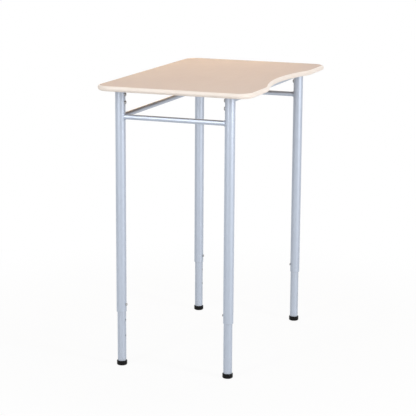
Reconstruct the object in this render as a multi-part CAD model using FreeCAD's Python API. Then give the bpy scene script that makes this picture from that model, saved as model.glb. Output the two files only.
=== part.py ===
import FreeCAD, Part
import math
import os

from FreeCAD import Vector

# Standing-height desk: a laminate top with a belly cut, on a welded tube frame whose four round
# legs telescope and lock with a screw. Millimetres. The origin is on the floor under the middle
# of the top, X runs along the user's edge, +Y points away from the user and Z is up.

# Top
top_width = 807.0
top_depth = 508.0
top_height = 901.0
laminate_thickness = 1.2
core_thickness = 14.0
backer_thickness = 0.8
corner_radius = 48.0
belly_width = 480.0
belly_depth = 37.0
belly_blend_radius = 130.0

# Edge band: a T-section with a rounded nose and a barbed spine in the core's groove
nose_crown = 6.5
spine_length = 10.0
spine_thickness = 1.8
barb_height = 0.6
barb_length = 3.0
barb_pitch = 4.0
barb_count = 2
groove_clearance = 0.1

# Outer legs
leg_side_inset = 62.5
leg_front_inset = 82.5
leg_back_inset = 65.5
leg_diameter = 31.75
leg_wall = 1.25
leg_rim_height = 176.5
tube_chamfer = 0.4

# Crossbars and front rail
bar_diameter = 15.9
bar_wall = 1.2
bar_drop = 84.0
rail_height = 21.0
rail_thickness = 12.7
rail_wall = 1.5
rail_corner_radius = 2.5
weld_size = 2.5

# Top mounts: a strap under the top with a spigot that stands in the leg
strap_length = 80.0
strap_width = 30.0
strap_thickness = 3.0
strap_corner_radius = 6.0
strap_notch_clearance = 0.4
spigot_length = 60.0
spigot_wall = 2.0
spigot_clearance = 0.2

# Wood screws through the strap
wood_screw_diameter = 4.2
wood_screw_length = 12.0
wood_screw_point = 3.0
wood_screw_head_diameter = 8.0
wood_screw_head_height = 2.4
wood_screw_edge = 9.0
wood_screw_spread = 14.0

# Screws through the leg into the spigot
leg_screw_diameter = 6.0
leg_screw_length = 7.0
leg_screw_head_diameter = 12.0
leg_screw_head_height = 3.6
leg_screw_drop = 15.0
leg_screw_pitch = 24.5

# Lower legs with their index holes, each drawn to one side of its leg by the adjusting screw
slide_clearance = 0.9
slide_gap = 0.32
lower_leg_wall = 1.5
lower_leg_tail = 100.0
index_rise = 23.9
index_pitch = 50.8
holes_below = 2
holes_above = 4
index_hole_diameter = 6.0

# Glides
glide_diameter = 33.0
glide_height = 15.0
glide_edge_radius = 3.5
glide_shoulder_radius = 2.0
plug_length = 24.0
plug_clearance = 0.3
plug_rib_height = 0.2
plug_rib_width = 2.0
plug_rib_pitch = 8.0
plug_rib_count = 2

# Adjusting screws, drawn eased out so that the lower leg is free to slide
adjuster_diameter = 5.0
adjuster_head_diameter = 8.5
adjuster_head_height = 1.7
adjuster_ease = 1.6
adjuster_tip_gap = 0.3

# Fits and cuts
hole_clearance = 0.15
cut_overrun = 2.0
same_place_gap = 0.001
head_rim_share = 0.35
bend_share = 1 - math.sqrt(2) / 2
parallel_share = 0.000001

# Worked out from the sizes above
UP = Vector(0, 0, 1)
ALONG_X = Vector(1, 0, 0)
ALONG_Y = Vector(0, 1, 0)
FULL_TURN = 360.0
QUARTER = math.pi / 2
top_thickness = laminate_thickness + core_thickness + backer_thickness
underside = top_height - top_thickness
front_edge = -top_depth / 2
leg_radius = leg_diameter / 2
leg_bore = leg_radius - leg_wall
leg_top = underside - strap_thickness
leg_x = top_width / 2 - leg_side_inset
front_leg_y = front_edge + leg_front_inset
back_leg_y = top_depth / 2 - leg_back_inset
bar_radius = bar_diameter / 2
bar_height = underside - bar_drop
spigot_radius = leg_bore - spigot_clearance
lower_leg_radius = leg_bore - slide_clearance
lower_leg_bore = lower_leg_radius - lower_leg_wall
lower_leg_shift = slide_clearance - slide_gap
index_height = leg_rim_height + index_rise
lower_leg_top = index_height + holes_above * index_pitch + lower_leg_tail

# Corner of the desk to the signs of its X and of its Y from the middle of the legs
CORNERS = {
    "front_left": (-1, -1),
    "front_right": (1, -1),
    "back_right": (1, 1),
    "back_left": (-1, 1),
}


def leg_axis(corner, height):
    """The point on a leg's axis at a height."""
    side, end = CORNERS[corner]
    return Vector(side * leg_x, front_leg_y if end < 0 else back_leg_y, height)


def inward(corner):
    """The direction, along Y, from a leg to the other leg on its side of the desk."""
    return ALONG_Y * -CORNERS[corner][1]


def lower_leg_axis(corner, height):
    """The point on a lower leg's axis at a height."""
    return leg_axis(corner, height) + inward(corner) * lower_leg_shift


def turned(points, place, direction):
    """A solid of revolution: a closed outline of (radius, distance) points turned about an axis."""
    wire = Part.makePolygon([Vector(radius, 0, distance) for radius, distance in [*points, points[0]]])
    return aimed(Part.Face(wire).revolve(Vector(), UP, FULL_TURN), place, direction)


def aimed(solid, place, direction):
    """A solid made at the origin along Z, set at a place with its Z along a direction."""
    moved = solid.copy()
    moved.Placement = FreeCAD.Placement(place, FreeCAD.Rotation(UP, direction))
    return moved


def tube(radius, wall, length, place, direction):
    """A round tube with its outer edges broken at both ends."""
    bore = radius - wall
    return turned(
        [
            (bore, 0),
            (radius - tube_chamfer, 0),
            (radius, tube_chamfer),
            (radius, length - tube_chamfer),
            (radius - tube_chamfer, length),
            (bore, length),
        ],
        place,
        direction,
    )


def pan_head_screw(diameter, length, head_diameter, head_height, point, place, direction):
    """A screw with its head's seat at a place and its shank along a direction."""
    shank, head = diameter / 2, head_diameter / 2
    rim = head_height * head_rim_share
    dome = (head**2 + (head_height - rim) ** 2) / (2 * (head_height - rim))
    half_angle = math.asin(head / dome) / 2
    shoulder = Vector(dome * math.sin(half_angle), 0, dome * (1 - math.cos(half_angle)) - head_height)
    outline = [
        Part.LineSegment(Vector(0, 0, -head_height), Vector(0, 0, length)),
        Part.LineSegment(Vector(0, 0, length), Vector(shank, 0, length - point)),
        Part.LineSegment(Vector(shank, 0, length - point), Vector(shank, 0, 0)),
        Part.LineSegment(Vector(shank, 0, 0), Vector(head, 0, 0)),
        Part.LineSegment(Vector(head, 0, 0), Vector(head, 0, -rim)),
        Part.Arc(Vector(head, 0, -rim), shoulder, Vector(0, 0, -head_height)),
    ]
    wire = Part.Wire([piece.toShape() for piece in outline])
    return aimed(Part.Face(wire).revolve(Vector(), UP, FULL_TURN), place, direction)


def arc(centre, radius, start, end):
    """An arc about a centre between two angles, in the floor plane."""
    points = [
        centre + Vector(math.cos(angle), math.sin(angle), 0) * radius
        for angle in (start, (start + end) / 2, end)
    ]
    return Part.Arc(*points).toShape()


def top_outline(inset, height):
    """The top's outline moved inwards, from the middle of its back edge round to there again."""
    corner_x, corner_y = top_width / 2 - corner_radius, top_depth / 2 - corner_radius
    corner = corner_radius - inset
    blend = belly_blend_radius - inset
    belly_half = belly_width / 2
    # The belly's one large arc meets the two blends where the lines between centres cross them
    centres = (belly_half**2 + belly_depth**2) / (2 * belly_depth)
    belly_radius = centres - belly_blend_radius
    spread = math.asin(belly_half / centres)
    left_blend = Vector(-belly_half, front_edge + belly_blend_radius, height)
    right_blend = Vector(belly_half, front_edge + belly_blend_radius, height)
    belly = Vector(0, front_edge + belly_depth - belly_radius, height)
    arcs = [
        arc(Vector(-corner_x, corner_y, height), corner, QUARTER, 2 * QUARTER),
        arc(Vector(-corner_x, -corner_y, height), corner, 2 * QUARTER, 3 * QUARTER),
        arc(left_blend, blend, -QUARTER, -QUARTER + spread),
        arc(belly, belly_radius + inset, QUARTER + spread, QUARTER - spread),
        arc(right_blend, blend, -QUARTER - spread, -QUARTER),
        arc(Vector(corner_x, -corner_y, height), corner, -QUARTER, 0),
        arc(Vector(corner_x, corner_y, height), corner, 0, QUARTER),
    ]
    edges = []
    at = Vector(0, top_depth / 2 - inset, height)
    for bend in arcs:
        first, last = bend.valueAt(bend.FirstParameter), bend.valueAt(bend.LastParameter)
        if at.distanceToPoint(first) > same_place_gap:
            edges.append(Part.makeLine(at, first))
        edges.append(bend)
        at = last
    edges.append(Part.makeLine(at, Vector(0, top_depth / 2 - inset, height)))
    return Part.Wire(edges)


def sheet(inset, bottom, thickness):
    """A flat board of the top's outline."""
    return Part.Face(top_outline(inset, bottom)).extrude(UP * thickness)


def edge_band():
    """The T-section, drawn across the back edge, carried once round the top."""
    edge = top_depth / 2 - nose_crown
    middle = underside + top_thickness / 2
    half, spine = top_thickness / 2, spine_thickness / 2

    def at(outwards, rise):
        return Vector(0, edge + outwards, middle + rise)

    upper = [(0, spine)]
    for barb in range(barb_count):
        heel = spine_length - barb_length - (barb_count - 1 - barb) * barb_pitch
        upper += [(-heel, spine), (-heel, spine + barb_height), (-heel - barb_length, spine)]
    lower = [(outwards, -rise) for outwards, rise in reversed(upper)]
    walls = [at(*point) for point in [(0, half), *upper, *lower, (0, -half)]]
    edges = [Part.makeLine(a, b) for a, b in zip(walls, walls[1:])]
    edges.append(Part.Arc(at(0, -half), at(nose_crown, 0), at(0, half)).toShape())
    path = top_outline(nose_crown, middle)
    return Part.Solid(path.makePipeShell([Part.Wire(edges)], True, False))


def groove():
    """The slot round the core for the band's spine."""
    slot = spine_thickness + 2 * (barb_height + groove_clearance)
    bottom = underside + (top_thickness - slot) / 2
    inner = sheet(nose_crown + spine_length + groove_clearance, bottom, slot)
    return sheet(-cut_overrun, bottom, slot).cut(inner)


def wood_screw_places(corner):
    """Where a strap's wood screws enter, on the strap's lower face."""
    reach = strap_length / 2 - wood_screw_edge
    return [
        leg_axis(corner, leg_top) + ALONG_Y * along * reach + ALONG_X * across * wood_screw_spread / 2
        for along in (-1, 1)
        for across in (-1, 1)
    ]


def leg_screw_places(corner):
    """Where a leg's two upper screws seat, on the leg's inner face."""
    return [
        leg_axis(corner, underside - leg_screw_drop - row * leg_screw_pitch) + inward(corner) * leg_radius
        for row in range(2)
    ]


def drilled(solid, diameter, depth, places, direction):
    """A solid with round holes from each place along a direction, cut from clear of its face."""
    for place in places:
        start = place - direction * cut_overrun
        solid = solid.cut(Part.makeCylinder(diameter / 2, depth + cut_overrun, start, direction))
    return solid


def wood_screw_holes(solid):
    """A board with the pilot holes of all the wood screws."""
    places = [place for corner in CORNERS for place in wood_screw_places(corner)]
    depth = wood_screw_length + hole_clearance
    return drilled(solid, wood_screw_diameter + 2 * hole_clearance, depth, places, UP)


def outer_leg(corner):
    """A leg tube, with holes in its inner face for the spigot's screws and the adjusting screw."""
    leg = tube(leg_radius, leg_wall, leg_top - leg_rim_height, leg_axis(corner, leg_rim_height), UP)
    away = inward(corner) * -1
    leg = drilled(
        leg, leg_screw_diameter + 2 * hole_clearance, leg_radius, leg_screw_places(corner), away
    )
    seat = leg_axis(corner, index_height) + inward(corner) * leg_radius
    return drilled(leg, adjuster_diameter + 2 * hole_clearance, leg_radius, [seat], away)


def coped(solid):
    """A bar or rail with its ends hollowed to the legs that it meets."""
    for corner in CORNERS:
        leg = Part.makeCylinder(leg_radius, top_height, leg_axis(corner, 0), UP)
        solid = solid.cut(leg)
    return solid


def crossbar(start, end):
    """A round bar between two legs."""
    base = leg_axis(start, bar_height)
    run = leg_axis(end, bar_height) - base
    outer = Part.makeCylinder(bar_radius, run.Length, base, run)
    bore = Part.makeCylinder(bar_radius - bar_wall, run.Length, base, run)
    return coped(outer.cut(bore))


def block(length_x, length_y, bottom, height, middle):
    """A box centred on a point in plan."""
    corner = Vector(middle.x - length_x / 2, middle.y - length_y / 2, bottom)
    return Part.makeBox(length_x, length_y, height, corner)


def rounded(box, radius, direction):
    """A box with the edges along one direction rounded."""
    edges = [
        edge
        for edge in box.Edges
        if edge.tangentAt(edge.FirstParameter).cross(direction).Length < parallel_share
    ]
    return box.makeFillet(radius, edges)


def front_rail():
    """The flat tube under the user's edge, notched at its top ends for the straps."""
    middle = Vector(0, front_leg_y, 0)
    bottom = underside - rail_height
    outer = rounded(
        block(2 * leg_x, rail_thickness, bottom, rail_height, middle), rail_corner_radius, ALONG_X
    )
    bore = block(
        2 * leg_x,
        rail_thickness - 2 * rail_wall,
        bottom + rail_wall,
        rail_height - 2 * rail_wall,
        middle,
    )
    rail = coped(outer.cut(bore))
    for corner in ("front_left", "front_right"):
        notch = block(
            strap_width + 2 * strap_notch_clearance,
            strap_length,
            leg_top - strap_notch_clearance,
            strap_thickness + strap_notch_clearance + cut_overrun,
            leg_axis(corner, 0),
        )
        rail = rail.cut(notch)
    return rail


def bar_welds(start, end):
    """The two beads where a crossbar meets its legs: cones round the bar, cut to the leg."""
    beads = []
    for here, there in ((start, end), (end, start)):
        axis = leg_axis(here, bar_height)
        run = (leg_axis(there, bar_height) - axis).normalize()
        reach = leg_radius + weld_size
        cone = Part.makeCone(bar_radius + reach, bar_radius, reach, axis, run)
        collar = Part.makeCylinder(bar_radius + weld_size, reach, axis, run)
        bar = Part.makeCylinder(bar_radius, reach, axis, run)
        beads.append(coped(cone.common(collar).cut(bar)))
    return beads


def rail_welds():
    """The four upright beads on the two faces of the rail at its ends."""
    beads = []
    bottom = underside - rail_height
    length = rail_height - strap_thickness - strap_notch_clearance
    rail = block(2 * leg_x, rail_thickness, bottom, rail_height, Vector(0, front_leg_y, 0))
    setback = math.sqrt(leg_radius**2 - (rail_thickness / 2) ** 2)
    for corner in ("front_left", "front_right"):
        for face in (-1, 1):
            root = leg_axis(corner, bottom) + ALONG_Y * face * rail_thickness / 2
            root = root - ALONG_X * CORNERS[corner][0] * setback
            beads.append(coped(Part.makeCylinder(weld_size, length, root, UP).cut(rail)))
    return beads


def laid_in_turn(beads):
    """Weld beads, each cut back where one laid before it already fills the corner."""
    laid = []
    for bead in beads:
        for earlier in laid:
            bead = bead.cut(earlier)
        laid.append(bead)
    return laid


def top_mount(corner):
    """A strap under the top with a spigot tube below it, drilled for its screws."""
    axis = leg_axis(corner, leg_top)
    strap = rounded(
        block(strap_width, strap_length, leg_top, strap_thickness, axis), strap_corner_radius, UP
    )
    spigot = tube(spigot_radius, spigot_wall, spigot_length, axis, UP * -1)
    mount = strap.fuse(spigot).removeSplitter()
    mount = drilled(
        mount,
        wood_screw_diameter + 2 * hole_clearance,
        strap_thickness + cut_overrun,
        wood_screw_places(corner),
        UP,
    )
    away = inward(corner) * -1
    return drilled(
        mount, leg_screw_diameter + 2 * hole_clearance, leg_radius, leg_screw_places(corner), away
    )


def mount_screws():
    """All the wood screws, heads against the straps."""
    return [
        pan_head_screw(
            wood_screw_diameter,
            wood_screw_length,
            wood_screw_head_diameter,
            wood_screw_head_height,
            wood_screw_point,
            place,
            UP,
        )
        for corner in CORNERS
        for place in wood_screw_places(corner)
    ]


def leg_screws():
    """All the upper leg screws, heads against the legs."""
    return [
        pan_head_screw(
            leg_screw_diameter,
            leg_screw_length,
            leg_screw_head_diameter,
            leg_screw_head_height,
            0,
            place,
            inward(corner) * -1,
        )
        for corner in CORNERS
        for place in leg_screw_places(corner)
    ]


def lower_leg(corner):
    """An inner leg tube with its row of index holes in the wall that faces the adjusting screw."""
    base = lower_leg_axis(corner, glide_height)
    leg = tube(lower_leg_radius, lower_leg_wall, lower_leg_top - glide_height, base, UP)
    seats = [
        lower_leg_axis(corner, index_height + step * index_pitch) + inward(corner) * lower_leg_radius
        for step in range(-holes_below, holes_above + 1)
    ]
    return drilled(leg, index_hole_diameter, lower_leg_radius, seats, inward(corner) * -1)


def glide(corner):
    """A foot with rounded edges and a ribbed plug in the lower leg."""
    radius, plug = glide_diameter / 2, lower_leg_bore - plug_clearance
    edge, shoulder = glide_edge_radius, glide_shoulder_radius
    edge_bend, shoulder_bend = edge * bend_share, shoulder * bend_share
    profile = [
        Part.LineSegment(Vector(0, 0, 0), Vector(radius - edge, 0, 0)),
        Part.Arc(
            Vector(radius - edge, 0, 0),
            Vector(radius - edge_bend, 0, edge_bend),
            Vector(radius, 0, edge),
        ),
        Part.LineSegment(Vector(radius, 0, edge), Vector(radius, 0, glide_height - shoulder)),
        Part.Arc(
            Vector(radius, 0, glide_height - shoulder),
            Vector(radius - shoulder_bend, 0, glide_height - shoulder_bend),
            Vector(radius - shoulder, 0, glide_height),
        ),
    ]
    corners = [(radius - shoulder, glide_height), (plug, glide_height)]
    for rib in range(1, plug_rib_count + 1):
        low = glide_height + rib * plug_rib_pitch - plug_rib_width / 2
        corners += [
            (plug, low),
            (plug + plug_rib_height, low),
            (plug, low + plug_rib_width),
        ]
    top = glide_height + plug_length
    corners += [(plug, top - plug_rib_width), (plug - plug_rib_width, top), (0, top), (0, 0)]
    points = [Vector(r, 0, z) for r, z in corners]
    profile += [Part.LineSegment(a, b) for a, b in zip(points, points[1:])]
    wire = Part.Wire([piece.toShape() for piece in profile])
    return aimed(Part.Face(wire).revolve(Vector(), UP, FULL_TURN), lower_leg_axis(corner, 0), UP)


def adjuster(corner):
    """An adjusting screw in the outer leg, its tip just short of the lower leg's index hole."""
    seat = leg_axis(corner, index_height) + inward(corner) * (leg_radius + adjuster_ease)
    length = leg_radius + adjuster_ease - lower_leg_radius - lower_leg_shift - adjuster_tip_gap
    return pan_head_screw(
        adjuster_diameter,
        length,
        adjuster_head_diameter,
        adjuster_head_height,
        0,
        seat,
        inward(corner) * -1,
    )


def pieces():
    """Every node's name and its solids."""
    core = sheet(nose_crown, underside + backer_thickness, core_thickness).cut(groove())
    nodes = {
        "top_laminate": [sheet(nose_crown, top_height - laminate_thickness, laminate_thickness)],
        "top_core": [wood_screw_holes(core)],
        "top_backer": [wood_screw_holes(sheet(nose_crown, underside, backer_thickness))],
        "edge_band": [edge_band()],
        "front_rail": [front_rail()],
        "mount_screws": mount_screws(),
        "leg_screws": leg_screws(),
    }
    bars = {
        "side_bar_left": ("front_left", "back_left"),
        "side_bar_right": ("front_right", "back_right"),
        "back_bar": ("back_left", "back_right"),
    }
    beads = rail_welds()
    for name, ends in bars.items():
        nodes[name] = [crossbar(*ends)]
        beads += bar_welds(*ends)
    nodes["frame_welds"] = laid_in_turn(beads)
    for corner in CORNERS:
        nodes["leg_" + corner] = [outer_leg(corner)]
        nodes["top_mount_" + corner] = [top_mount(corner)]
        nodes["lower_leg_" + corner] = [lower_leg(corner)]
        nodes["glide_" + corner] = [glide(corner)]
        nodes["adjuster_" + corner] = [adjuster(corner)]
    return nodes


def single_solid(shape):
    """The one solid that a piece is made of."""
    (solid,) = shape.Solids
    return solid


os.makedirs("parts", exist_ok=True)
for node, shapes in pieces().items():
    solids = [single_solid(shape) for shape in shapes]
    whole = solids[0] if len(solids) == 1 else Part.makeCompound(solids)
    whole.exportStep("parts/" + node + ".step")
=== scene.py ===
import math

import bmesh
import bpy
from mathutils import Matrix, Vector


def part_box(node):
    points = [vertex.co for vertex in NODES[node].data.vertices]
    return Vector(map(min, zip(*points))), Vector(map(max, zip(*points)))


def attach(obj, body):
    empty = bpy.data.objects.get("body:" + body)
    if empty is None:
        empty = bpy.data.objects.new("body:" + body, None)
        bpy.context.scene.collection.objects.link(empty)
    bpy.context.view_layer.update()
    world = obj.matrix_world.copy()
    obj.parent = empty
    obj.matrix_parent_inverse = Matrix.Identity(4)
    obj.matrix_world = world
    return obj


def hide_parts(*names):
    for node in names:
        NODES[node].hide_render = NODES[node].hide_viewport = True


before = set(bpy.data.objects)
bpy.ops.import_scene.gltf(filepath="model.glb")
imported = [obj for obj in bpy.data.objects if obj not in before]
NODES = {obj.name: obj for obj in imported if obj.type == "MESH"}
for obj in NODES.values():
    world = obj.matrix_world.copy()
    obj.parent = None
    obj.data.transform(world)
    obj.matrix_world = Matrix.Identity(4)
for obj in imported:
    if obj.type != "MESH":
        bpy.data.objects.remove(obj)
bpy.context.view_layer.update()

# Standing-height desk with telescoping legs. Metres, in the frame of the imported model: X along the
# user's edge, +Y away from the user, Z up. The tubes, top, band, straps and glides show the CAD
# solids; the screws and weld beads are modelled here, and every surface gets its finish.

CORNERS = ("front_left", "front_right", "back_right", "back_left")

# Screws: a head has a radius and a height, a shank a radius and a length
SCREW_SIDES = 40
SCREW_SMOOTHING = math.radians(35)
SCREW_TURN = math.radians(137.5)
DOME_RINGS = 6
HEAD_RIM_SHARE = 0.35
RECESS_WIDTH_SHARE = 0.56
RECESS_WING_SHARE = 0.14
RECESS_DEPTH_SHARE = 0.6
RECESS_TAPER_SHARE = 0.55
THREAD_ROOT_SHARE = 0.84
THREAD_PITCH = 0.0011
THREAD_TIP = 0.0006
LEG_SCREW_HEAD = (0.006, 0.0036)
LEG_SCREW_SHANK = (0.003, 0.007)
LEG_SCREW_DROPS = {"upper": 0.015, "lower": 0.0395}
ADJUSTER_HEAD_HEIGHT = 0.00165
ADJUSTER_SHANK_RADIUS = 0.0025
ADJUSTER_TURN_OFFSET = 0.4
WOOD_SCREW_HEAD = (0.004, 0.0024)
WOOD_SCREW_SHANK = (0.0021, 0.012)
WOOD_SCREW_EDGE = 0.009
WOOD_SCREW_SPREAD = 0.014

# Weld beads
BEAD_RADIUS = 0.0019
BEAD_RISE = 0.0004
BEAD_SIDES = 12
BEAD_SMOOTHING = math.radians(50)
BAR_BEAD_RIPPLES = 28
RIPPLE_SWELL = (1.0, 0.97, 0.86)
RAIL_BEAD_RIPPLES = 8
RAIL_BEAD_NECK = 0.87
RAIL_BEAD_END_INSET = 1 / 2
RAIL_BEAD_END_RISE = 1 / 3
STRAP_GAP = 0.0004

# How far a face's normal leans along the axis where the face is an end, or a flat end
END_LEAN = 0.5
FLAT_END_LEAN = 0.99

# Places at which a finish changes
RIM_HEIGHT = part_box("leg_front_left")[0].z
FLOOR_SCUFF_HEIGHT = 0.01
FLOOR_SCUFF_REACH = 0.03
BAND_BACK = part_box("edge_band")[1].y
SEAM_HALF_WIDTH = 0.0002
SEAM_HALF_WIDTH_FADED = 0.0005
SEAM_START = BAND_BACK - 0.03
SEAM_FULL = BAND_BACK - 0.02

# Wood chips of the core, along a metre
CHIPS_PER_METRE = 420.0

# Colours, linear
SILVER = (0.458, 0.51, 0.6, 1)
SILVER_LIGHT = (0.51, 0.562, 0.65, 1)
BARE_STEEL = (0.36, 0.37, 0.39, 1)
SCUFF_GREY = (0.3, 0.31, 0.33, 1)
LAMINATE = (0.66, 0.532, 0.466, 1)
LAMINATE_GRAIN = (0.59, 0.46, 0.375, 1)
LAMINATE_PALE = (0.71, 0.585, 0.5, 1)
CREAM = (0.885, 0.795, 0.72, 1)
CREAM_STREAK = (0.81, 0.705, 0.615, 1)
SEAM_SHADE = (0.32, 0.25, 0.19, 1)
CHIP_LIGHT = (0.58, 0.42, 0.25, 1)
CHIP_DARK = (0.3, 0.19, 0.1, 1)
BACKER = (0.46, 0.32, 0.215, 1)
BACKER_FIBRE = (0.35, 0.235, 0.16, 1)
ZINC = (0.6, 0.61, 0.63, 1)
ZINC_DULL = (0.42, 0.43, 0.45, 1)
SCREW_STEEL = (0.42, 0.42, 0.42, 1)
SCREW_STEEL_DULL = (0.29, 0.29, 0.29, 1)
NYLON = (0.004, 0.004, 0.0045, 1)
NYLON_RUB = (0.03, 0.029, 0.028, 1)
WHITE = (1, 1, 1, 1)
FLOOR_PAINT = (0.82, 0.82, 0.82, 1)
PLAIN_LIGHT = (1, 1, 1)
WARM_LIGHT = (1.0, 0.6, 0.2)

# Sockets of a mix node that mixes colours
MIX_SHARE, MIX_FIRST, MIX_SECOND, MIX_RESULT = 0, 6, 7, 2

# Camera
CAMERA_PLACE = Vector((-4.6101, -1.7102, 1.5329))
CAMERA_AIM = Vector((-0.0044, 0.0245, 0.457))
CAMERA_ROLL = 0.00627
CAMERA_LENS = 132.079
CAMERA_SENSOR = 36.0

# Studio
AIM_HEIGHT = 0.6
FLOOR_REACH = 60.0
FLOOR_WHITE_SHARE = 0.94
FLOOR_NEAR = 0.5
FLOOR_FAR = 1.5
WORLD_LEVEL = 0.08

# Soft lights: degrees round the desk from the camera, height, distance, width and length of the
# box, share of plain white, colour
SOFTBOXES = {
    "softbox_right": (51, 1.7, 3.2, 0.7, 2.3, 0.69, PLAIN_LIGHT),
    "softbox_left": (-36, 1.7, 3.2, 0.6, 2.3, 0.36, PLAIN_LIGHT),
    "softbox_upper_left": (-50, 2.4, 1.6, 1.4, 1.0, 0.215, PLAIN_LIGHT),
    "softbox_above": (155, 2.5, 1.0, 2.0, 1.4, 0.4, PLAIN_LIGHT),
    "warm_back_light": (-168, 1.06, 1.2, 1.2, 0.2, 0.22, WARM_LIGHT),
}


def feed(tree, socket, value):
    """Sets an input, or links it where the value is another node's output."""
    if isinstance(value, bpy.types.NodeSocket):
        tree.links.new(value, socket)
    else:
        socket.default_value = value


def add(tree, kind, inputs=None, **settings):
    """A new node with its settings and its named inputs."""
    made = tree.nodes.new(kind)
    for name, value in settings.items():
        setattr(made, name, value)
    for name, value in (inputs or {}).items():
        feed(tree, made.inputs[name], value)
    return made


def calc(tree, operation, *values, clamp=False):
    """The result of one sum on numbers."""
    made = add(tree, "ShaderNodeMath", operation=operation, use_clamp=clamp)
    for socket, value in zip(made.inputs, values):
        feed(tree, socket, value)
    return made.outputs[0]


def plus(tree, value, where, share):
    """A value with a share of a mask added to it."""
    return calc(tree, "ADD", value, calc(tree, "MULTIPLY", where, share))


def ramp(tree, value, low, high, out_low=0.0, out_high=1.0):
    """A value carried from one range to another, smoothly and within it."""
    made = add(tree, "ShaderNodeMapRange", interpolation_type="SMOOTHSTEP")
    for place, number in enumerate((value, low, high, out_low, out_high)):
        feed(tree, made.inputs[place], number)
    return made.outputs[0]


def vary(tree, where, low, high):
    """A value that goes from low to high with a mask."""
    return ramp(tree, where, 0.0, 1.0, low, high)


def tint(tree, share, first, second):
    """One colour laid over another by a share."""
    made = add(tree, "ShaderNodeMix", data_type="RGBA")
    for place, value in ((MIX_SHARE, share), (MIX_FIRST, first), (MIX_SECOND, second)):
        feed(tree, made.inputs[place], value)
    return made.outputs[MIX_RESULT]


def lay(tree, under, over, where, share):
    """One colour laid over another where a mask shows, no thicker than a share."""
    return tint(tree, calc(tree, "MULTIPLY", where, share), under, over)


def mix(tree, share, first, second):
    """Two shaders mixed by a share."""
    made = add(tree, "ShaderNodeMixShader")
    for place, value in enumerate((share, first, second)):
        feed(tree, made.inputs[place], value)
    return made.outputs[0]


def place_on_piece(tree):
    """The point on the surface, in the frame's metres."""
    return add(tree, "ShaderNodeTexCoord").outputs["Object"]


def effect(name, inputs, outputs):
    """An empty node group with named sockets, and its two ends."""
    tree = bpy.data.node_groups.new(name, "ShaderNodeTree")
    for label, default in inputs.items():
        kind = "NodeSocketVector" if isinstance(default, tuple) else "NodeSocketFloat"
        socket = tree.interface.new_socket(name=label, in_out="INPUT", socket_type=kind)
        socket.default_value = default
    for label in outputs:
        tree.interface.new_socket(name=label, in_out="OUTPUT", socket_type="NodeSocketFloat")
    return tree, add(tree, "NodeGroupInput").outputs, add(tree, "NodeGroupOutput").inputs


def mottle_effect():
    """Soft grains of one size all over: flakes, moulded grain, smudges or a colour's drift."""
    tree, given, result = effect(
        "Mottle", {"Grain Size": 0.001, "Detail": 2.0, "Shift": 0.0}, ["Mask"]
    )
    size = calc(tree, "DIVIDE", 1.0, given["Grain Size"])
    spot = add(tree, "ShaderNodeVectorMath", operation="ADD")
    feed(tree, spot.inputs[0], place_on_piece(tree))
    feed(tree, spot.inputs[1], given["Shift"])
    noise = add(
        tree,
        "ShaderNodeTexNoise",
        {"Vector": spot.outputs[0], "Scale": size, "Detail": given["Detail"], "Roughness": 0.55},
    )
    feed(tree, result["Mask"], ramp(tree, noise.outputs[0], low=0.3, high=0.7))
    return tree


def streak_effect():
    """Long fine streaks: printed grain, extrusion lines, brushing or marks of sliding."""
    tree, given, result = effect(
        "Streaks", {"Spacing": (1.0, 1.0, 1.0), "Low": 0.35, "High": 0.65}, ["Mask"]
    )
    spaced = add(tree, "ShaderNodeVectorMath", operation="DIVIDE")
    feed(tree, spaced.inputs[0], place_on_piece(tree))
    feed(tree, spaced.inputs[1], given["Spacing"])
    noise = add(
        tree,
        "ShaderNodeTexNoise",
        {"Vector": spaced.outputs[0], "Scale": 1.0, "Detail": 3.0, "Roughness": 0.6},
    )
    feed(tree, result["Mask"], ramp(tree, noise.outputs[0], given["Low"], given["High"]))
    return tree


def height_effect():
    """A ragged ring of wear about one height, for rims and feet."""
    tree, given, result = effect(
        "Height Ring",
        {"Height": 0.1, "Reach": 0.01, "Grain Size": 0.004, "Raggedness": 0.6},
        ["Mask"],
    )
    noise_middle, noise_stretch = 0.5, 2.0
    spot = place_on_piece(tree)
    rise = add(tree, "ShaderNodeSeparateXYZ", {"Vector": spot}).outputs["Z"]
    off = calc(tree, "ABSOLUTE", calc(tree, "SUBTRACT", rise, given["Height"]))
    near = calc(tree, "SUBTRACT", 1.0, calc(tree, "DIVIDE", off, given["Reach"]), clamp=True)
    size = calc(tree, "DIVIDE", 1.0, given["Grain Size"])
    noise = add(tree, "ShaderNodeTexNoise", {"Vector": spot, "Scale": size, "Detail": 4.0})
    swing = calc(tree, "SUBTRACT", noise.outputs[0], noise_middle)
    swing = calc(tree, "MULTIPLY", swing, given["Raggedness"])
    torn = ramp(tree, plus(tree, near, swing, share=noise_stretch), low=0.45, high=0.75)
    feed(tree, result["Mask"], calc(tree, "MULTIPLY", torn, near, clamp=True))
    return tree


MOTTLE = mottle_effect()
STREAKS = streak_effect()
HEIGHT_RING = height_effect()


def mask(tree, kind, **values):
    """The mask of an effect placed in a material with its own values."""
    made = add(tree, "ShaderNodeGroup", node_tree=kind)
    for name, value in values.items():
        feed(tree, made.inputs[name.replace("_", " ").title()], value)
    return made.outputs["Mask"]


def finish(name, **constants):
    """A new material, its tree and its shader, on which what is the same all over is set."""
    material = bpy.data.materials.new(name)
    material.use_nodes = True
    tree = material.node_tree
    shader = tree.nodes["Principled BSDF"]
    for label, value in constants.items():
        shader.inputs[label.replace("_", " ")].default_value = value
    return material, tree, shader


def surface(tree, shader, colour, roughness):
    """Gives the shader the colour and the roughness that change over the surface."""
    feed(tree, shader.inputs["Base Color"], colour)
    feed(tree, shader.inputs["Roughness"], roughness)


def relief(tree, shader, height, depth, strength=1.0):
    """Fine relief of a real depth in the surface."""
    bump = add(
        tree, "ShaderNodeBump", {"Height": height, "Distance": depth, "Strength": strength}
    )
    feed(tree, shader.inputs["Normal"], bump.outputs[0])


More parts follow.
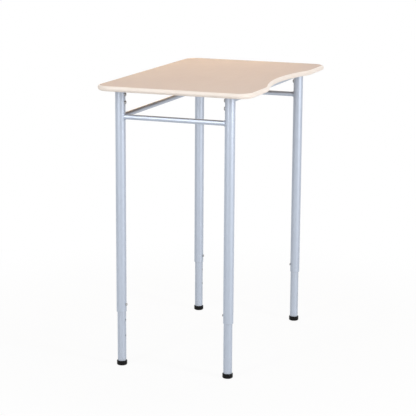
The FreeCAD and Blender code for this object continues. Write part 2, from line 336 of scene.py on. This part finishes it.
def silver_paint(name, slide_marks):
    """Silver powder coat: fine flake, orange peel, rubbed rims, scuffed feet, marks of sliding."""
    material, tree, shader = finish(name, Metallic=0.55, Specular_IOR_Level=0.4)
    flake = mask(tree, MOTTLE, grain_size=0.0006, detail=1.0)
    drift = mask(tree, MOTTLE, grain_size=0.12, detail=2.0)
    peel = mask(tree, MOTTLE, grain_size=0.0022, detail=1.0)
    rim = mask(
        tree,
        HEIGHT_RING,
        height=RIM_HEIGHT,
        reach=0.0016,
        grain_size=0.003,
        raggedness=0.5,
    )
    foot = mask(
        tree,
        HEIGHT_RING,
        height=FLOOR_SCUFF_HEIGHT,
        reach=FLOOR_SCUFF_REACH,
        grain_size=0.005,
        raggedness=0.7,
    )
    slides = mask(tree, STREAKS, spacing=(0.0016, 0.0016, 0.09), low=0.6, high=0.75)
    slides = calc(tree, "MULTIPLY", slides, slide_marks)
    colour = lay(tree, SILVER, SILVER_LIGHT, flake, share=0.8)
    colour = lay(tree, colour, SILVER_LIGHT, drift, share=0.25)
    colour = lay(tree, colour, SCUFF_GREY, slides, share=0.35)
    colour = lay(tree, colour, SCUFF_GREY, foot, share=0.3)
    colour = lay(tree, colour, BARE_STEEL, rim, share=0.7)
    rough = vary(tree, flake, low=0.4, high=0.48)
    surface(tree, shader, colour, plus(tree, rough, slides, share=0.12))
    relief(tree, shader, plus(tree, peel, flake, share=0.3), depth=0.00004, strength=0.6)
    return material


def beige_laminate():
    """Matte laminate with a faint printed grain along the desk and a fine suede texture."""
    material, tree, shader = finish("beige_laminate", Specular_IOR_Level=0.05)
    grain = mask(tree, STREAKS, spacing=(0.16, 0.0035, 0.02), low=0.35, high=0.7)
    pores = mask(tree, STREAKS, spacing=(0.018, 0.0006, 0.02), low=0.58, high=0.72)
    drift = mask(tree, MOTTLE, grain_size=0.22, detail=2.0)
    suede = mask(tree, MOTTLE, grain_size=0.0005, detail=1.0)
    smudge = mask(tree, MOTTLE, grain_size=0.07, detail=4.0, shift=3.0)
    colour = lay(tree, LAMINATE, LAMINATE_GRAIN, grain, share=0.3)
    colour = lay(tree, colour, LAMINATE_GRAIN, pores, share=0.22)
    colour = lay(tree, colour, LAMINATE_PALE, drift, share=0.3)
    clean_roughness = 0.57
    surface(tree, shader, colour, plus(tree, clean_roughness, smudge, share=-0.05))
    relief(tree, shader, plus(tree, suede, pores, share=-0.5), depth=0.00002, strength=0.5)
    return material


def cream_edging():
    """Satin vinyl moulding with extrusion lines along it and one butt seam at the back."""
    material, tree, shader = finish("cream_edging", Specular_IOR_Level=0.45)
    lines = mask(tree, STREAKS, spacing=(0.3, 0.3, 0.0009), low=0.4, high=0.7)
    cloud = mask(tree, MOTTLE, grain_size=0.05, detail=3.0)
    grain = mask(tree, MOTTLE, grain_size=0.0007, detail=1.0)
    spot = add(tree, "ShaderNodeSeparateXYZ", {"Vector": place_on_piece(tree)}).outputs
    aside = calc(tree, "ABSOLUTE", spot["X"])
    beside = ramp(tree, aside, SEAM_HALF_WIDTH, SEAM_HALF_WIDTH_FADED, 1.0, 0.0)
    behind = ramp(tree, spot["Y"], SEAM_START, SEAM_FULL)
    seam = calc(tree, "MULTIPLY", beside, behind)
    colour = lay(tree, CREAM, CREAM_STREAK, lines, share=0.25)
    colour = lay(tree, colour, CREAM_STREAK, cloud, share=0.15)
    colour = lay(tree, colour, SEAM_SHADE, seam, share=0.8)
    surface(tree, shader, colour, vary(tree, cloud, low=0.36, high=0.44))
    line_share = 0.5
    height = plus(tree, calc(tree, "MULTIPLY", lines, line_share), grain, share=0.4)
    relief(tree, shader, plus(tree, height, seam, share=-4.0), depth=0.00004, strength=0.6)
    return material


def particle_board():
    """Pressed wood chips."""
    material, tree, shader = finish("particle_board")
    chips = add(
        tree,
        "ShaderNodeTexVoronoi",
        {"Vector": place_on_piece(tree), "Scale": CHIPS_PER_METRE, "Randomness": 1.0},
    ).outputs
    shade = add(tree, "ShaderNodeSeparateColor", {"Color": chips["Color"]}).outputs[0]
    dust = mask(tree, MOTTLE, grain_size=0.0012, detail=3.0)
    colour = tint(tree, shade, CHIP_LIGHT, CHIP_DARK)
    colour = lay(tree, colour, CHIP_LIGHT, dust, share=0.35)
    surface(tree, shader, colour, vary(tree, dust, low=0.82, high=0.92))
    relief(tree, shader, chips["Distance"], depth=0.0002)
    return material


def backer_sheet():
    """Brown balancing sheet with a fibrous, faintly mottled face."""
    material, tree, shader = finish("backer_sheet")
    fibre = mask(tree, STREAKS, spacing=(0.012, 0.0012, 0.01), low=0.4, high=0.7)
    cloud = mask(tree, MOTTLE, grain_size=0.03, detail=4.0)
    colour = lay(tree, BACKER, BACKER_FIBRE, fibre, share=0.5)
    colour = lay(tree, colour, BACKER_FIBRE, cloud, share=0.35)
    surface(tree, shader, colour, vary(tree, cloud, low=0.62, high=0.74))
    relief(tree, shader, fibre, depth=0.00004, strength=0.6)
    return material


def zinc_plate(name, bright, dull, spacing):
    """Zinc plating with drawn or turned marks and a dull bloom."""
    material, tree, shader = finish(name, Metallic=1.0)
    marks = mask(tree, STREAKS, spacing=spacing, low=0.35, high=0.7)
    bloom = mask(tree, MOTTLE, grain_size=0.004, detail=3.0)
    colour = lay(tree, bright, dull, bloom, share=0.5)
    colour = lay(tree, colour, dull, marks, share=0.25)
    rough = vary(tree, bloom, low=0.26, high=0.4)
    surface(tree, shader, colour, plus(tree, rough, marks, share=0.08))
    relief(tree, shader, marks, depth=0.00002, strength=0.5)
    return material


def black_nylon():
    """Moulded nylon, grained, with its lower edge rubbed grey by the floor."""
    material, tree, shader = finish("black_glide", Specular_IOR_Level=0.12)
    grain = mask(tree, MOTTLE, grain_size=0.0005, detail=1.0)
    cloud = mask(tree, MOTTLE, grain_size=0.006, detail=3.0)
    rub = mask(tree, HEIGHT_RING, height=0.0, reach=0.004, grain_size=0.002, raggedness=0.6)
    colour = lay(tree, NYLON, NYLON_RUB, cloud, share=0.12)
    colour = lay(tree, colour, NYLON_RUB, rub, share=0.7)
    rough = vary(tree, cloud, low=0.36, high=0.46)
    surface(tree, shader, colour, plus(tree, rough, rub, share=0.25))
    relief(tree, shader, grain, depth=0.00003, strength=0.6)
    return material


def paint(node, material):
    """Gives a CAD node its finish."""
    NODES[node].data.materials.clear()
    NODES[node].data.materials.append(material)


def box_middle(node):
    """The middle of a node's box."""
    low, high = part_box(node)
    return (low + high) / 2


def box_size(node):
    """The size of a node's box."""
    low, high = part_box(node)
    return high - low


def inward(corner):
    """The direction along Y from a leg to the other leg on its side."""
    return Vector((0, 1 if corner.startswith("front") else -1, 0))


def clear_selection():
    """Nothing selected, so that an operator acts only on the piece that comes next."""
    if bpy.context.mode != "OBJECT":
        bpy.ops.object.mode_set(mode="OBJECT")
    bpy.ops.object.select_all(action="DESELECT")


def pick(faces=None, points=None):
    """In edit mode, selects only the faces or points that pass a test."""
    mesh = bmesh.from_edit_mesh(bpy.context.object.data)
    bpy.ops.mesh.select_all(action="DESELECT")
    bpy.context.tool_settings.mesh_select_mode = (points is not None, False, faces is not None)
    for part in mesh.faces if faces else mesh.verts:
        part.select_set((faces or points)(part))
    mesh.select_flush_mode()
    bmesh.update_edit_mesh(bpy.context.object.data)


def pick_lower_end():
    """In edit mode, selects the faces that look down the axis."""
    pick(faces=lambda face: face.normal.z < -END_LEAN)


def draw_out(distance, scale):
    """Extrudes the picked face down the axis and widens or narrows its new end."""
    bpy.ops.mesh.extrude_region_move(TRANSFORM_OT_translate={"value": (0, 0, -distance)})
    bpy.ops.transform.resize(value=(scale, scale, 1), center_override=(0, 0, 0))


def cross_cutter(head_radius, head_height):
    """The tapered cross that a driver leaves in a screw's head."""
    clear_selection()
    wing = 2 * head_radius * RECESS_WING_SHARE
    depth = head_height * RECESS_DEPTH_SHARE
    bpy.ops.mesh.primitive_cube_add(
        size=1, location=(0, 0, head_height), scale=(wing, wing, 2 * depth)
    )
    cutter = bpy.context.object
    bpy.ops.object.transform_apply(location=True, rotation=True, scale=True)
    bpy.ops.object.mode_set(mode="EDIT")
    pick(faces=lambda face: abs(face.normal.z) < END_LEAN)
    arm = head_radius * RECESS_WIDTH_SHARE - wing / 2
    bpy.ops.mesh.extrude_faces_move(TRANSFORM_OT_shrink_fatten={"value": arm})
    pick_lower_end()
    taper = RECESS_TAPER_SHARE
    bpy.ops.transform.resize(value=(taper, taper, 1), center_override=(0, 0, 0))
    bpy.ops.object.mode_set(mode="OBJECT")
    return cutter


def pan_head_screw(name, head, shank, material):
    """A screw at the origin: its head's seat at height zero, its dome above, its thread below."""
    head_radius, head_height = head
    shank_radius, shank_length = shank
    rim = head_height * HEAD_RIM_SHARE
    clear_selection()
    bpy.ops.mesh.primitive_cylinder_add(
        vertices=SCREW_SIDES, radius=head_radius, depth=rim, location=(0, 0, rim / 2)
    )
    screw = bpy.context.object
    screw.name = name
    bpy.ops.object.transform_apply(location=True, rotation=True, scale=True)
    bpy.ops.object.mode_set(mode="EDIT")
    pick(faces=lambda face: face.normal.z > END_LEAN)
    dome = head_height - rim
    angles = [math.pi / 2 * ring / (DOME_RINGS + 1) for ring in range(DOME_RINGS + 1)]
    for low, high in zip(angles, angles[1:]):
        bpy.ops.mesh.inset(
            thickness=head_radius * (math.cos(low) - math.cos(high)),
            depth=dome * (math.sin(high) - math.sin(low)),
        )
    pick_lower_end()
    bpy.ops.mesh.inset(thickness=head_radius - shank_radius * THREAD_ROOT_SHARE)
    ridges = max(1, round((shank_length - THREAD_TIP) / THREAD_PITCH))
    step = (shank_length - THREAD_TIP) / ridges / 2
    for _ in range(ridges):
        draw_out(step, 1 / THREAD_ROOT_SHARE)
        draw_out(step, THREAD_ROOT_SHARE)
    draw_out(THREAD_TIP, THREAD_ROOT_SHARE)
    bpy.ops.object.mode_set(mode="OBJECT")
    cutter = cross_cutter(head_radius, head_height)
    clear_selection()
    bpy.context.view_layer.objects.active = screw
    recess = screw.modifiers.new("recess", "BOOLEAN")
    recess.operation = "DIFFERENCE"
    recess.object = cutter
    bpy.ops.object.modifier_apply(modifier=recess.name)
    bpy.data.objects.remove(cutter)
    screw.select_set(True)
    bpy.ops.object.shade_smooth_by_angle(angle=SCREW_SMOOTHING)
    screw.data.materials.append(material)
    return screw


def fitted_copy(master, name, place, direction, turn):
    """A copy with its own mesh, its lower end turned to a direction, its place in its mesh."""
    made = master.copy()
    made.data = master.data.copy()
    made.name = name
    bpy.context.scene.collection.objects.link(made)
    aim = (-direction).to_track_quat("Z", "Y").to_matrix().to_4x4()
    made.matrix_world = Matrix.Translation(place) @ aim @ Matrix.Rotation(turn, 4, "Z")
    clear_selection()
    made.select_set(True)
    bpy.context.view_layer.objects.active = made
    bpy.ops.object.transform_apply(location=True, rotation=True, scale=True)
    return made


def hand_over(piece, body, node):
    """A modelled piece takes the place of a CAD node on its body."""
    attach(piece, body)
    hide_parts(node)


def turn_of(count):
    """Screws are never driven to the same angle: each is left at its own."""
    return SCREW_TURN * count


def leg_screws(material):
    """Two screws through the inner face of each leg into its spigot."""
    master = pan_head_screw("leg_screw", LEG_SCREW_HEAD, LEG_SCREW_SHANK, material)
    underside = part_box("top_backer")[0].z
    count = 0
    for corner in CORNERS:
        low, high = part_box("leg_" + corner)
        for row, drop in LEG_SCREW_DROPS.items():
            seat = (low + high) / 2 + inward(corner) * (high.y - low.y) / 2
            seat.z = underside - drop
            screw = fitted_copy(
                master, f"leg_screw_{corner}_{row}", seat, -inward(corner), turn_of(count)
            )
            hand_over(screw, "desk", "leg_screws")
            count += 1
    bpy.data.objects.remove(master)


def adjusters(material):
    """The screw that locks each lower leg, eased out on its own body."""
    low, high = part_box("adjuster_front_left")
    length = high.y - low.y - ADJUSTER_HEAD_HEIGHT
    head = ((high.x - low.x) / 2, ADJUSTER_HEAD_HEIGHT)
    master = pan_head_screw("adjusting_screw", head, (ADJUSTER_SHANK_RADIUS, length), material)
    for count, corner in enumerate(CORNERS):
        low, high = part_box("adjuster_" + corner)
        seat = (low + high) / 2
        seat += inward(corner) * ((high.y - low.y) / 2 - ADJUSTER_HEAD_HEIGHT)
        turn = turn_of(count + ADJUSTER_TURN_OFFSET)
        screw = fitted_copy(master, "adjusting_screw_" + corner, seat, -inward(corner), turn)
        hand_over(screw, "screw_" + corner, "adjuster_" + corner)
    bpy.data.objects.remove(master)


def wood_screws(material):
    """Four screws up through each strap into the core."""
    master = pan_head_screw("wood_screw", WOOD_SCREW_HEAD, WOOD_SCREW_SHANK, material)
    upward = Vector((0, 0, 1))
    count = 0
    for corner in CORNERS:
        low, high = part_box("top_mount_" + corner)
        leg_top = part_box("leg_" + corner)[1].z
        reach = (high.y - low.y) / 2 - WOOD_SCREW_EDGE
        for along in (-1, 1):
            for across in (-1, 1):
                aside = Vector((across * WOOD_SCREW_SPREAD / 2, along * reach, 0))
                seat = (low + high) / 2 + aside
                seat.z = leg_top
                count += 1
                screw = fitted_copy(
                    master, f"wood_screw_{corner}_{count}", seat, upward, turn_of(count)
                )
                hand_over(screw, "desk", "mount_screws")
    bpy.data.objects.remove(master)


def bar_bead(material, bar_radius, leg_radius):
    """The bead round a crossbar's end: a ring of ripples, its sides set back to the round leg."""
    clear_selection()
    rings = BAR_BEAD_RIPPLES * len(RIPPLE_SWELL)
    reach = bar_radius + BEAD_RISE
    bpy.ops.mesh.primitive_torus_add(
        major_segments=rings,
        minor_segments=BEAD_SIDES,
        major_radius=reach,
        minor_radius=BEAD_RADIUS,
    )
    bead = bpy.context.object
    bpy.ops.object.mode_set(mode="EDIT")
    same_ring = math.cos(math.pi / rings)
    for ring in range(rings):
        angle = 2 * math.pi * ring / rings
        out = Vector((math.cos(angle), math.sin(angle), 0))
        pick(points=lambda point: point.co.xy.normalized().dot(out.xy) > same_ring)
        swell = RIPPLE_SWELL[ring % len(RIPPLE_SWELL)]
        bpy.ops.transform.resize(value=(swell, swell, swell), center_override=out * reach)
        setback = leg_radius - math.sqrt(leg_radius**2 - (out.x * reach) ** 2)
        bpy.ops.transform.translate(value=(0, 0, BEAD_RISE - setback))
    bpy.ops.object.mode_set(mode="OBJECT")
    bpy.ops.object.shade_smooth_by_angle(angle=BEAD_SMOOTHING)
    bead.data.materials.append(material)
    return bead


def rail_bead(material, length):
    """An upright bead of ripples, from its top end at the origin down."""
    clear_selection()
    step = length / (2 * RAIL_BEAD_RIPPLES + 1)
    neck = BEAD_RADIUS * RAIL_BEAD_NECK
    bpy.ops.mesh.primitive_cylinder_add(
        vertices=BEAD_SIDES, radius=neck, depth=step, location=(0, 0, -step / 2)
    )
    bead = bpy.context.object
    bpy.ops.object.transform_apply(location=True, rotation=True, scale=True)
    bpy.ops.object.mode_set(mode="EDIT")
    pick_lower_end()
    for _ in range(RAIL_BEAD_RIPPLES):
        draw_out(step, 1 / RAIL_BEAD_NECK)
        draw_out(step, RAIL_BEAD_NECK)
    pick(faces=lambda face: abs(face.normal.z) > FLAT_END_LEAN)
    bpy.ops.mesh.inset(thickness=neck * RAIL_BEAD_END_INSET, depth=neck * RAIL_BEAD_END_RISE)
    bpy.ops.object.mode_set(mode="OBJECT")
    bpy.ops.object.shade_smooth_by_angle(angle=BEAD_SMOOTHING)
    bead.data.materials.append(material)
    return bead


def bar_welds(material):
    """A bead at both ends of each crossbar."""
    leg_radius = box_size("leg_front_left").y / 2
    master = bar_bead(material, box_size("back_bar").z / 2, leg_radius)
    bars = {
        "side_bar_left": ("front_left", "back_left"),
        "side_bar_right": ("front_right", "back_right"),
        "back_bar": ("back_left", "back_right"),
    }
    for bar, ends in bars.items():
        for here, there in (ends, ends[::-1]):
            foot = box_middle("leg_" + here)
            along = (box_middle("leg_" + there) - foot).normalized()
            foot.z = box_middle(bar).z
            bead = fitted_copy(master, f"weld_{bar}_{here}", foot + along * leg_radius, -along, 0)
            hand_over(bead, "desk", "frame_welds")
    bpy.data.objects.remove(master)


def rail_welds(material):
    """A bead at each side of both ends of the front rail."""
    half = box_size("front_rail").y / 2
    leg_radius = box_size("leg_front_left").y / 2
    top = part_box("leg_front_left")[1].z - STRAP_GAP
    master = rail_bead(material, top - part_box("front_rail")[0].z)
    setback = math.sqrt(leg_radius**2 - half**2)
    downward = Vector((0, 0, -1))
    for corner, side in (("front_left", 1), ("front_right", -1)):
        for face, label in ((-1, "front"), (1, "back")):
            root = box_middle("leg_" + corner) + Vector((side * setback, face * half, 0))
            root.z = top
            bead = fitted_copy(master, f"weld_rail_{corner}_{label}", root, downward, 0)
            hand_over(bead, "desk", "frame_welds")
    bpy.data.objects.remove(master)


def seen_as_white(tree):
    """One where a camera ray, or a ray seen through gloss or glass, meets the surface."""
    path = add(tree, "ShaderNodeLightPath").outputs
    seen = calc(tree, "MAXIMUM", path["Is Camera Ray"], path["Is Glossy Ray"])
    return calc(tree, "MAXIMUM", seen, path["Is Transmission Ray"])


def floor():
    """A plain white floor that keeps the desk's soft shadow and is clear from below."""
    clear_selection()
    bpy.ops.mesh.primitive_plane_add(size=FLOOR_REACH)
    ground = bpy.context.object
    ground.name = "studio_floor"
    material = bpy.data.materials.new("floor_white")
    material.use_nodes = True
    tree = material.node_tree
    tree.nodes.clear()
    matte = add(tree, "ShaderNodeBsdfDiffuse", {"Color": FLOOR_PAINT}).outputs[0]
    glow = add(tree, "ShaderNodeEmission", {"Color": WHITE, "Strength": 1.0}).outputs[0]
    clear = add(tree, "ShaderNodeBsdfTransparent").outputs[0]
    below = add(tree, "ShaderNodeNewGeometry").outputs["Backfacing"]
    apart = add(tree, "ShaderNodeVectorMath", {0: place_on_piece(tree)}, operation="LENGTH")
    share = ramp(tree, apart.outputs["Value"], FLOOR_NEAR, FLOOR_FAR, FLOOR_WHITE_SHARE, 1.0)
    lit = mix(tree, calc(tree, "MULTIPLY", seen_as_white(tree), share), matte, glow)
    add(tree, "ShaderNodeOutputMaterial", {"Surface": mix(tree, below, lit, clear)})
    ground.data.materials.append(material)


def studio_world():
    """White to the camera, and an even soft light on the desk."""
    world = bpy.data.worlds.new("studio")
    world.use_nodes = True
    tree = world.node_tree
    tree.nodes.clear()
    soft, white = (
        add(tree, "ShaderNodeBackground", {"Color": WHITE, "Strength": level}).outputs[0]
        for level in (WORLD_LEVEL, 1.0)
    )
    both = mix(tree, seen_as_white(tree), soft, white)
    add(tree, "ShaderNodeOutputWorld", {"Surface": both})
    bpy.context.scene.world = world


def softbox(name, turn, height, distance, width, length, level, colour):
    """A soft light, turned round the desk from the camera, that gives a share of plain white."""
    aim = Vector((0, 0, AIM_HEIGHT))
    toward = (CAMERA_PLACE - aim).to_2d().normalized().to_3d()
    toward.rotate(Matrix.Rotation(math.radians(turn), 3, "Z"))
    place = aim + toward * distance
    place.z = height
    lamp = bpy.data.lights.new(name, "AREA")
    lamp.shape = "RECTANGLE"
    lamp.size = width
    lamp.size_y = length
    lamp.color = colour
    lamp.energy = level * math.pi**2 * (place - aim).length_squared
    box = bpy.data.objects.new(name, lamp)
    bpy.context.scene.collection.objects.link(box)
    box.location = place
    box.rotation_euler = (aim - place).to_track_quat("-Z", "Y").to_euler()
    box.visible_camera = False


def camera():
    """The photograph's view."""
    data = bpy.data.cameras.new("camera")
    data.lens = CAMERA_LENS
    data.sensor_width = CAMERA_SENSOR
    made = bpy.data.objects.new("camera", data)
    bpy.context.scene.collection.objects.link(made)
    look = (CAMERA_AIM - CAMERA_PLACE).to_track_quat("-Z", "Y").to_matrix()
    turned = look @ Matrix.Rotation(CAMERA_ROLL, 3, "Z")
    made.matrix_world = Matrix.Translation(CAMERA_PLACE) @ turned.to_4x4()
    bpy.context.scene.camera = made


def dress():
    """Finishes on the CAD nodes, and the modelled screws and weld beads."""
    frame_paint = silver_paint("silver_paint", slide_marks=0.0)
    sliding_paint = silver_paint("silver_paint_sliding", slide_marks=1.0)
    strap_zinc = zinc_plate("zinc_steel", ZINC, ZINC_DULL, spacing=(0.0008, 0.03, 0.0008))
    screw_zinc = zinc_plate(
        "zinc_screws", SCREW_STEEL, SCREW_STEEL_DULL, spacing=(0.0007, 0.0007, 0.0007)
    )
    nylon = black_nylon()
    paint("top_laminate", beige_laminate())
    paint("top_core", particle_board())
    paint("top_backer", backer_sheet())
    paint("edge_band", cream_edging())
    for node in ("side_bar_left", "side_bar_right", "back_bar", "front_rail"):
        paint(node, frame_paint)
    for corner in CORNERS:
        paint("leg_" + corner, frame_paint)
        paint("lower_leg_" + corner, sliding_paint)
        paint("top_mount_" + corner, strap_zinc)
        paint("glide_" + corner, nylon)
    leg_screws(screw_zinc)
    adjusters(screw_zinc)
    wood_screws(screw_zinc)
    bar_welds(frame_paint)
    rail_welds(frame_paint)


def studio():
    """Floor, world, soft lights and the camera."""
    floor()
    studio_world()
    for name, values in SOFTBOXES.items():
        softbox(name, *values)
    camera()
    bpy.context.scene.view_settings.view_transform = "Standard"


dress()
studio()
